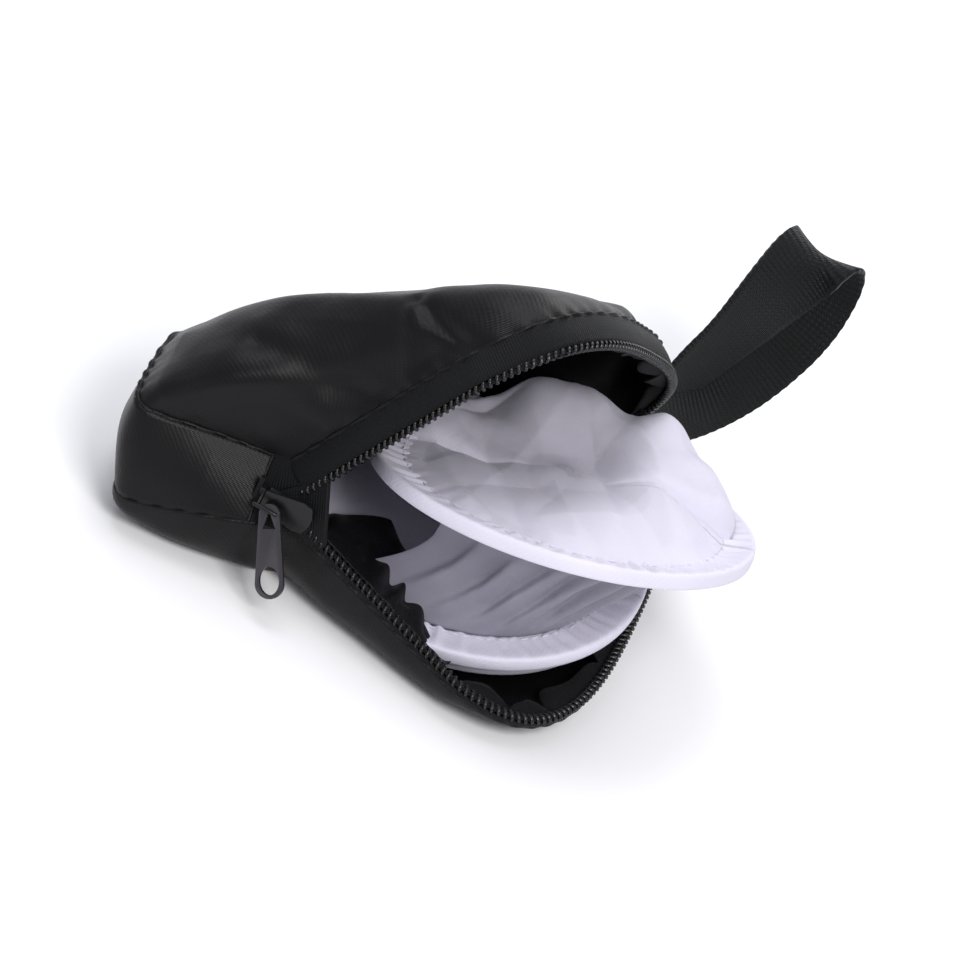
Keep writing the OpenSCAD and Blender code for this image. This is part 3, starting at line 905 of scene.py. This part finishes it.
@dataclass
class Loop:
    """One loop of the sprung hoop in its binding, with the cloth inside it."""

    maker: Maker
    name: str
    middle: tuple[float, float, float]
    tilt: tuple[float, float]
    radius: float
    body: Body
    nodes: tuple[str, ...]
    binding: float = 9.5
    band: float = 4.3
    seed: int = 3

    def frame_of(self) -> tuple[np.ndarray, np.ndarray]:
        """The loop's middle and its turn, as a matrix."""
        about_x, about_y = (Matrix.Rotation(math.radians(tilt), 3, axis) for tilt, axis in zip(self.tilt, "XY"))
        return np.array(self.middle), np.array(about_x @ about_y)

    def place(self, local: np.ndarray) -> np.ndarray:
        """Puts points of the loop's own frame where the loop lies."""
        middle, turn = self.frame_of()
        return local @ turn.T + middle

    def ring_points(self, angle: np.ndarray, radius: float | np.ndarray, height: float | np.ndarray) -> np.ndarray:
        """Points round the loop."""
        x, y = np.cos(angle) * radius, np.sin(angle) * radius
        return np.stack([x, y, np.broadcast_to(height, x.shape)], -1)

    def rim(self) -> None:
        """The bound rim: a soft wedge round the spring band, puckered along its stitches."""
        count = 360
        half = self.band / 2
        section = smooth_line(np.array([
            [0.0, -half + 0.3], [0.25, 0.0], [0.0, half - 0.3], [-0.5, half], [-2.2, half * 0.86], [-5.0, half * 0.5],
            [-self.binding + 1.2, 0.55], [-self.binding, 0.5], [-self.binding, -0.5], [-self.binding + 1.2, -0.55],
            [-5.0, -half * 0.5], [-2.2, -half * 0.86], [-0.5, -half], [0.0, -half + 0.3]]), 40, 2)[:-1]
        angle = np.linspace(0, 2 * math.pi, count, endpoint=False)
        draw = np.random.default_rng(self.seed)
        pucker = np.zeros(count)
        for k in range(9):
            pucker += np.sin(angle * draw.integers(28, 90) + draw.uniform(0, 6.3))
        pucker /= 3.0
        inside = np.clip(-section[:, 0] / self.binding, 0, 1)
        swell = 1 + 0.35 * inside[None, :] * pucker[:, None] * np.sin(math.pi * inside)[None, :] ** 0.5
        wander = 0.35 * np.sin(angle * 5 + self.seed) + 0.2 * np.sin(angle * 9 + 1.3 * self.seed)
        radius = self.radius + section[None, :, 0] * (1 + 0.04 * pucker[:, None]) + wander[:, None] * inside[None]
        height = section[None, :, 1] * swell + 0.25 * inside[None] * pucker[:, None]
        local = np.stack([np.cos(angle)[:, None] * radius, np.sin(angle)[:, None] * radius, height], -1)
        grid = self.place(local)
        closed = np.concatenate([grid, grid[:, :1]], 1)
        piece = self.maker.sheet(f"{self.name}_rim", closed, Slot.BINDING, closed=True)
        self.maker.modify(piece, "WELD", merge_threshold=0.00001)
        self.maker.outward(piece)
        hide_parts(*self.nodes[:2])
        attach(piece, self.body.value)
        for sign, word in ((1, "top"), (-1, "under")):
            ring = self.ring_points(np.append(angle, angle[:1] + 2 * math.pi), self.radius - self.binding + 1.5,
                                    sign * 0.72)
            sewn = self.maker.stitches(f"{self.name}_stitches_{word}", self.place(ring), Slot.DIFFUSER, 2.1, 0.9, 0.2)
            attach(sewn, self.body.value)

    def cloth(self, rise: float, creases: float, over: float = 0.0) -> None:
        """The creased diffusion cloth inside the rim.

        Args:
            rise: How far its middle stands up.
            creases: How deep its creases are.
            over: How far it spills over the rim's far side.
        """
        angle = np.linspace(0, 2 * math.pi, 300, endpoint=False)
        share = np.linspace(0.0, 1.0, 90)
        reach = self.radius - self.binding + 2.0
        spill = np.clip(np.sin(np.clip((angle - math.radians(6)) / math.radians(165), 0, 1) * math.pi), 0, 1) ** 0.55
        radius = np.maximum(share[None, :] * (reach + over * 0.5 * spill[:, None]), 0.05)
        flat = np.stack([np.cos(angle)[:, None] * radius, np.sin(angle)[:, None] * radius, np.zeros_like(radius)], -1)
        fade = np.clip((1 - share[None, :]) * 7, 0.0, 1)
        height = crumple(flat, self.seed, 46.0, 3) * creases + crumple(flat, self.seed + 7, 24.0, 4) * creases * 0.6
        pleat = np.sin(angle * 34 + 3 * np.sin(angle * 3)) + 0.6 * np.sin(angle * 57 + 1.0)
        height = height * np.clip(share[None, :] * 4, 0.3, 1)
        height = height * fade + pleat[:, None] * 0.4 * share[None, :] ** 22 * np.clip((1 - share[None]) * 12, 0, 1)
        height = height + rise * (1 - share[None, :] ** 2) ** 2
        edge = 1 + 0.2 * np.sin(angle * 7 + 1.0) + 0.12 * np.sin(angle * 13)
        height = height + 0.55 * over * np.clip(1 - share[None, :] ** 2, 0, 1)
        climb = np.clip((share[None, :] - 0.1) / 0.8, 0, 1)
        climb = climb * climb * (3 - 2 * climb) * (1 - 0.5 * np.clip((share[None, :] - 0.88) * 8.3, 0, 1) ** 2)
        height = height + over * spill[:, None] * climb * (1 + (edge[:, None] - 1) * climb ** 3)
        flat[..., 2] = height
        grid = self.place(flat)
        piece = self.maker.sheet(f"{self.name}_cloth", grid, Slot.DIFFUSER, 0.25, closed=True)
        self.maker.outward(piece)
        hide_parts(*self.nodes[2:])
        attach(piece, self.body.value)
        self.maker.declare(piece, grid, "stretched", [f"{self.name}_rim"])

    def build(self, rise: float = 0.0, creases: float = 1.6, over: float = 0.0) -> None:
        """Makes the rim and its cloth."""
        self.rim()
        self.cloth(rise, creases, over)


@dataclass
class Curtain:
    """The cloth that runs from the lower loop up to the upper one."""

    maker: Maker
    low: Loop
    high: Loop

    def build(self) -> None:
        """Makes the pleated cloth between the two loops, with painted shade in its colour."""
        angle = np.linspace(math.radians(236), math.radians(400), 300)
        share = np.linspace(0, 1, 50)
        foot = self.low.place(self.low.ring_points(angle, self.low.radius - 9.0, 0.8))
        head = self.high.place(self.high.ring_points(angle, self.high.radius - 8.5, -0.9))
        pinch = np.sin(math.pi * share)[None, :, None]
        grid = foot[:, None] * (1 - share[None, :, None]) + head[:, None] * share[None, :, None]
        centre = (foot.mean(0) + head.mean(0)) / 2
        inward = centre - grid
        inward[..., 2] = 0
        grid = grid + inward * pinch * 0.16
        out = inward / np.maximum(np.linalg.norm(inward, axis=2, keepdims=True), 1e-6)
        pleat = np.sin(angle * 24 + 2 * np.sin(angle * 2.3))[:, None] * (1.1 + 0.8 * share[None, :])
        pleat = pleat + crumple(grid, 12, 22.0, 4) * 1.3
        grid = grid + out * (pleat * np.sin(math.pi * share)[None] ** 0.6)[..., None]
        piece = self.maker.sheet("diffuser_curtain", grid, Slot.DIFFUSER, 0.25)
        # Painted shade: this is the loops' diffusion cloth with a darker copy of its colour, standing in for the shade
        # between the two rings.
        dress(piece, Weave("painted_shade_curtain_cloth", (0.22, 0.21, 0.26), (0.29, 0.28, 0.34),
                           0.45, 0.05, 0.6, 0.1, 0.4, 0.3).build())
        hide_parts("diffuser_fold")
        self.maker.declare(piece, grid, "gathered", ["lower_loop_rim", "upper_loop_rim"])
        low, high = self.maker.layout.row(foot.mean(0)), self.maker.layout.row(head.mean(0))
        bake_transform(piece)


# ---- slider and strap --------------------------------------------------------


@dataclass
class Hardware:
    """The slider, its bail and the pull tab, with their cast edges rounded."""

    maker: Maker

    def rounded(self, node: str, name: str, body: Body, slot: Slot, width: float) -> bpy.types.Object:
        """Copies a hard node, merges it and rounds its edges."""
        piece = bpy.data.objects.new(name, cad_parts[node].data.copy())
        bpy.context.scene.collection.objects.link(piece)
        piece.data.materials.clear()
        piece.data.materials.append(self.maker.finishes[slot])
        self.maker.activate(piece)
        bpy.ops.object.mode_set(mode="EDIT")
        bpy.ops.mesh.select_all(action="SELECT")
        bpy.ops.mesh.remove_doubles(threshold=0.00001)
        bpy.ops.mesh.dissolve_limited(angle_limit=math.radians(2))
        bpy.ops.mesh.normals_make_consistent(inside=False)
        bpy.ops.object.mode_set(mode="OBJECT")
        self.maker.modify(piece, "BEVEL", width=width * MM, segments=3, limit_method="ANGLE",
                          angle_limit=math.radians(35))
        bpy.ops.object.shade_smooth_by_angle(angle=math.radians(40))
        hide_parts(node)
        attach(piece, body.value)
        return piece

    def disc(self, radius: float, middle: float, scale: tuple[float, float, float] = (1, 1, 1),
             depth: float = 1.1, corners: int = 56) -> bpy.types.Object:
        """Adds one upright cylinder on the tab's own long line, in millimetres."""
        bpy.ops.object.select_all(action="DESELECT")
        bpy.ops.mesh.primitive_cylinder_add(vertices=corners, radius=radius * MM, depth=depth * MM, scale=scale,
                                            location=(0, middle * MM, 0))
        return bpy.context.active_object

    def pull(self, low_r: float = 3.65, top_r: float = 2.6) -> None:
        """Casts the pull tab: a plate that widens to its foot, with an eye and a finger hole."""
        points = np.array([v.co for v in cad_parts["pull_tab"].data.vertices])
        middle = (points.max(0) + points.min(0)) / 2
        _, _, ways = np.linalg.svd(points - points.mean(0), full_matrices=False)
        up = ways[0] * np.sign(ways[0][2])
        thin = ways[2] * -np.sign(ways[2][1])
        reach = (points - middle) @ up
        middle = middle + up * (reach.max() + reach.min()) / 2
        half = (reach.max() - reach.min()) / 2 / MM
        tab = self.disc(low_r, low_r - half)
        self.disc(top_r, half - top_r)
        tab.select_set(True)
        bpy.context.view_layer.objects.active = tab
        bpy.ops.object.join()
        bpy.ops.object.mode_set(mode="EDIT")
        bpy.ops.mesh.select_all(action="SELECT")
        bpy.ops.mesh.convex_hull()
        bpy.ops.object.mode_set(mode="OBJECT")
        eye = half - 4.6
        for cutter in (self.disc(2.55, low_r + 0.75 - half, (1, 1.35, 1), 4),
                       self.disc(2.6, eye, (0.72, 1.15, 1), 4, 3)):
            self.maker.modify(tab, "BOOLEAN", object=cutter, operation="DIFFERENCE", solver="EXACT")
            bpy.data.objects.remove(cutter)
        self.maker.modify(tab, "BEVEL", width=0.22 * MM, segments=3, limit_method="ANGLE",
                          angle_limit=math.radians(35))
        turn = Matrix([np.cross(up, thin), up, thin]).transposed().to_4x4()
        bpy.ops.object.transform_apply(location=True, rotation=True, scale=True)
        tab.data.transform(Matrix.Translation(middle) @ turn)
        tab.name = tab.data.name = "pull_tab_casting"
        tab.data.materials.append(self.maker.finishes[Slot.PULL])
        self.maker.activate(tab)
        bpy.ops.object.shade_smooth_by_angle(angle=math.radians(40))
        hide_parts("pull_tab")
        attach(tab, Body.PULL.value)

    def build(self) -> None:
        """Makes the hard pieces."""
        self.rounded("slider_body", "slider_casting", Body.SLIDER, Slot.SLIDER, 0.25)
        self.rounded("slider_bail", "slider_bridge", Body.SLIDER, Slot.SLIDER, 0.12)
        self.pull()
        for node, slot in (("near_end_patch", Slot.TAPE), ("bottom_stop", Slot.COIL), ("strap_anchor", Slot.SEAM),
                           ("strap_bartack", Slot.SEAM)):
            dress(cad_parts[node], self.maker.finishes[slot])


@dataclass
class Strap:
    """The wrist strap: a loop of ribbed webbing that twists as it leaves the seam."""

    maker: Maker
    mouth: Mouth
    width: float = 20.0
    thick: float = 1.3
    root_gap: float = 6.6
    route: tuple = (
        ((2.4, 1.2, 0.4), (0, 0.05, 1)), ((7.6, 11.5, 6.5), (-0.3, 0.2, 0.93)), ((14, 22, 10.5), (-0.62, 0.28, 0.7)),
        ((20.5, 31, 18.5), (-0.85, 0.29, 0.43)), ((26, 40, 31), (-0.9, 0.22, 0.3)),
        ((26.5, 44.5, 44), (-0.98, 0.11, 0.15)),
        ((24, 43, 51), (-1, 0, 0.03)), ((20, 37.5, 52.5), (-1, -0.08, 0.03)), ((16, 29.5, 44), (-0.86, -0.38, 0.25)),
        ((11, 21, 29), (-0.62, -0.6, 0.5)), ((6, 14.5, 18.5), (-0.4, -0.5, 0.77)), ((2.2, 7, 7.5), (-0.1, -0.2, 0.97)),
        ((0, 1.2, 1.6), (0, -0.05, 1)))

    def build(self) -> None:
        """Makes the webbing."""
        points = np.array([p for p, _ in self.route], float)
        wide = np.array([w for _, w in self.route], float)
        count = 200
        both = smooth_line(np.hstack([points, wide * 20]), count, 3)
        root = self.mouth.end + self.mouth.axis * self.root_gap
        line = both[:, :3] + root + UP * (self.mouth.mouth_z - 1)
        way = np.gradient(line, axis=0)
        way /= np.linalg.norm(way, axis=1, keepdims=True)
        across = both[:, 3:]
        across -= way * (across * way).sum(1, keepdims=True)
        across /= np.linalg.norm(across, axis=1, keepdims=True)
        share = np.linspace(0, 1, count)
        half = self.width / 2 * (0.5 + 0.5 * np.clip(np.minimum(share, 1 - share) * 9, 0, 1))
        scallop = 0.22 * np.abs(np.sin(np.linspace(0, 60 * math.pi, count)))
        over = np.cross(way, across)
        place = np.linspace(-1, 1, 15)
        crown = 0.35 * (1 - place ** 2)
        grid = (line[:, None] + across[:, None] * ((half + scallop)[:, None] * place[None])[..., None]
                + over[:, None] * (crown[None] + 0.3)[..., None])
        piece = self.maker.sheet("wrist_strap_webbing", grid, Slot.WEBBING, self.thick)
        self.maker.outward(piece)
        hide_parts("wrist_strap")
        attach(piece, Body.STRAP.value)
        self.maker.declare(piece, grid, "folded", ["strap_anchor"])


# ---- finishes, stage and camera ----------------------------------------------


def finishes() -> dict[Slot, bpy.types.Material]:
    """Builds one material for each slot."""
    return {
        Slot.NYLON: Weave("black_nylon", (0.0024, 0.0022, 0.0026), (0.0070, 0.0064, 0.0074),
                          0.6, 0.045, 0.36, 0.01, 0.3, 0.19).build(),
        Slot.TAPE: Ribbed("zip_tape", (0.002, 0.0023, 0.0027), (0.006, 0.0067, 0.0074), 0.7, 0.1).build(),
        Slot.COIL: Lacquer("coil_nylon", (0.006, 0.006, 0.0065), (0.009, 0.009, 0.0095), 0.0, 0.27).build(),
        Slot.SEAM: Weave("seam_cloth", (0.003, 0.003, 0.0036), (0.007, 0.007, 0.008),
                         0.7, 0.08, 0.85, 0.02, 0.3, 0.2).build(),
        Slot.WEBBING: Ribbed("strap_webbing", (0.0025, 0.0032, 0.0032), (0.0075, 0.009, 0.009),
                             1.3, 0.16, 0.36).build(),
        Slot.SLIDER: Lacquer("slider_lacquer", (0.012, 0.012, 0.013), (0.02, 0.02, 0.021), 0.5, 0.3).build(),
        Slot.PULL: Lacquer("pull_lacquer", (0.07, 0.066, 0.074), (0.085, 0.08, 0.088), 0.75, 0.3).build(),
        Slot.STEEL: Lacquer("hoop_steel", (0.35, 0.36, 0.38), (0.2, 0.2, 0.21), 1.0, 0.3).build(),
        Slot.BINDING: Weave("white_binding", (0.66, 0.64, 0.75), (0.75, 0.73, 0.84),
                            0.8, 0.05, 0.6, 0.1, 0.25, 0.3).build(),
        Slot.DIFFUSER: Weave("diffusion_cloth", (0.60, 0.58, 0.68), (0.69, 0.67, 0.78),
                             0.45, 0.05, 0.6, 0.1, 0.4, 0.3).build(),
    }


@dataclass
class Studio:
    """The pale floor, the soft lights and the camera."""

    layout: Layout
    right: tuple[float, float, float] = (0.879, 0.262, 0.398)
    up: tuple[float, float, float] = (-0.477, 0.501, 0.722)
    back: tuple[float, float, float] = (-0.011, -0.8245, 0.5655)
    aim: tuple[float, float, float] = (37.3, 15.0, 46.6)
    view_mm: float = 232.0
    distance_m: float = 1.1
    sensor_mm: float = 36.0

    def camera(self) -> None:
        """Sets the camera at the object's seen angle."""
        data = bpy.data.cameras.new("camera")
        data.sensor_width = self.sensor_mm
        data.lens = self.sensor_mm * self.distance_m / (self.view_mm * MM)
        eye = bpy.data.objects.new("camera", data)
        bpy.context.scene.collection.objects.link(eye)
        turn = Matrix((self.right, self.up, self.back)).transposed()
        place = Vector(self.layout.row(np.array(self.aim))) + Vector(self.back) * self.distance_m
        eye.matrix_world = Matrix.Translation(place) @ turn.to_4x4()
        bpy.context.scene.camera = eye

    def light(self, name: str, place: Sequence[float], size: float, power: float,
              color: Sequence[float] = (1, 1, 1)) -> None:
        """Adds one soft light that looks at the object."""
        data = bpy.data.lights.new(name, "AREA")
        data.size, data.energy, data.color = size, power, color
        lamp = bpy.data.objects.new(name, data)
        bpy.context.scene.collection.objects.link(lamp)
        lamp.location = place
        lamp.rotation_mode = "QUATERNION"
        lamp.rotation_quaternion = (-Vector(place)).to_track_quat("-Z", "Y")

    def build(self) -> None:
        """Makes the stage."""
        bpy.ops.object.select_all(action="DESELECT")
        bpy.ops.mesh.primitive_plane_add(size=8.0, location=(0, 0, -0.0003))
        floor = bpy.context.active_object
        floor.name = "floor"
        graph = Graph("floor_paper")
        graph.set(Base_Color=(0.90, 0.90, 0.91, 1.0), Roughness=0.9, Specular_IOR_Level=0.1)
        floor.data.materials.append(graph.material)
        world = bpy.data.worlds.new("studio")
        world.use_nodes = True
        world.node_tree.nodes["Background"].inputs[0].default_value = (0.93, 0.94, 1.0, 1.0)
        world.node_tree.nodes["Background"].inputs[1].default_value = 0.55
        bpy.context.scene.world = world
        bpy.context.scene.view_settings.view_transform = "Standard"
        self.light("key", (0.3, -0.6, 0.75), 0.4, 5.6, (1.0, 0.985, 0.97))
        self.light("top", (-0.3, 0.1, 0.9), 0.5, 3.0, (0.96, 0.97, 1.0))
        self.light("rear", (0.1, 0.8, 0.5), 0.6, 3.0)
        self.camera()


def main() -> None:
    """Builds every piece in order."""
    logging.basicConfig(level=logging.INFO, format="%(name)s: %(message)s")
    layout = Layout()
    Studio(layout).build()
    LOG.info("stage")
    maker = Maker(layout, finishes())
    mouth = Mouth()
    Pouch(maker, mouth).build()
    LOG.info("pouch")
    Zip(maker, mouth).build()
    LOG.info("zip")
    base = Loop(maker, "base_loop", (38.2, 40.6, 8.6), (4, -4), 44.6, Body.STACK,
                ("base_hoop", "base_binding", "base_diffuser", "hoop_ferrule"), seed=11)
    base.build(creases=0.5)
    low = Loop(maker, "lower_loop", (38.8, 40.7, 14.6), (6, -6.5), 48.6, Body.STACK,
               ("lower_hoop", "lower_binding", "lower_diffuser"), seed=5)
    low.build(creases=1.3)
    high = Loop(maker, "upper_loop", (57, 38, 38.4), (-16, -11), 49.2, Body.UPPER,
                ("upper_hoop", "upper_binding", "upper_diffuser"), seed=8)
    high.build(rise=0.0, creases=3.2, over=12.5)
    LOG.info("loops")
    Curtain(maker, low, high).build()
    LOG.info("curtain")
    Hardware(maker).build()
    Strap(maker, mouth).build()
    LOG.info("slider and strap")


if __name__ == "__main__":
    main()
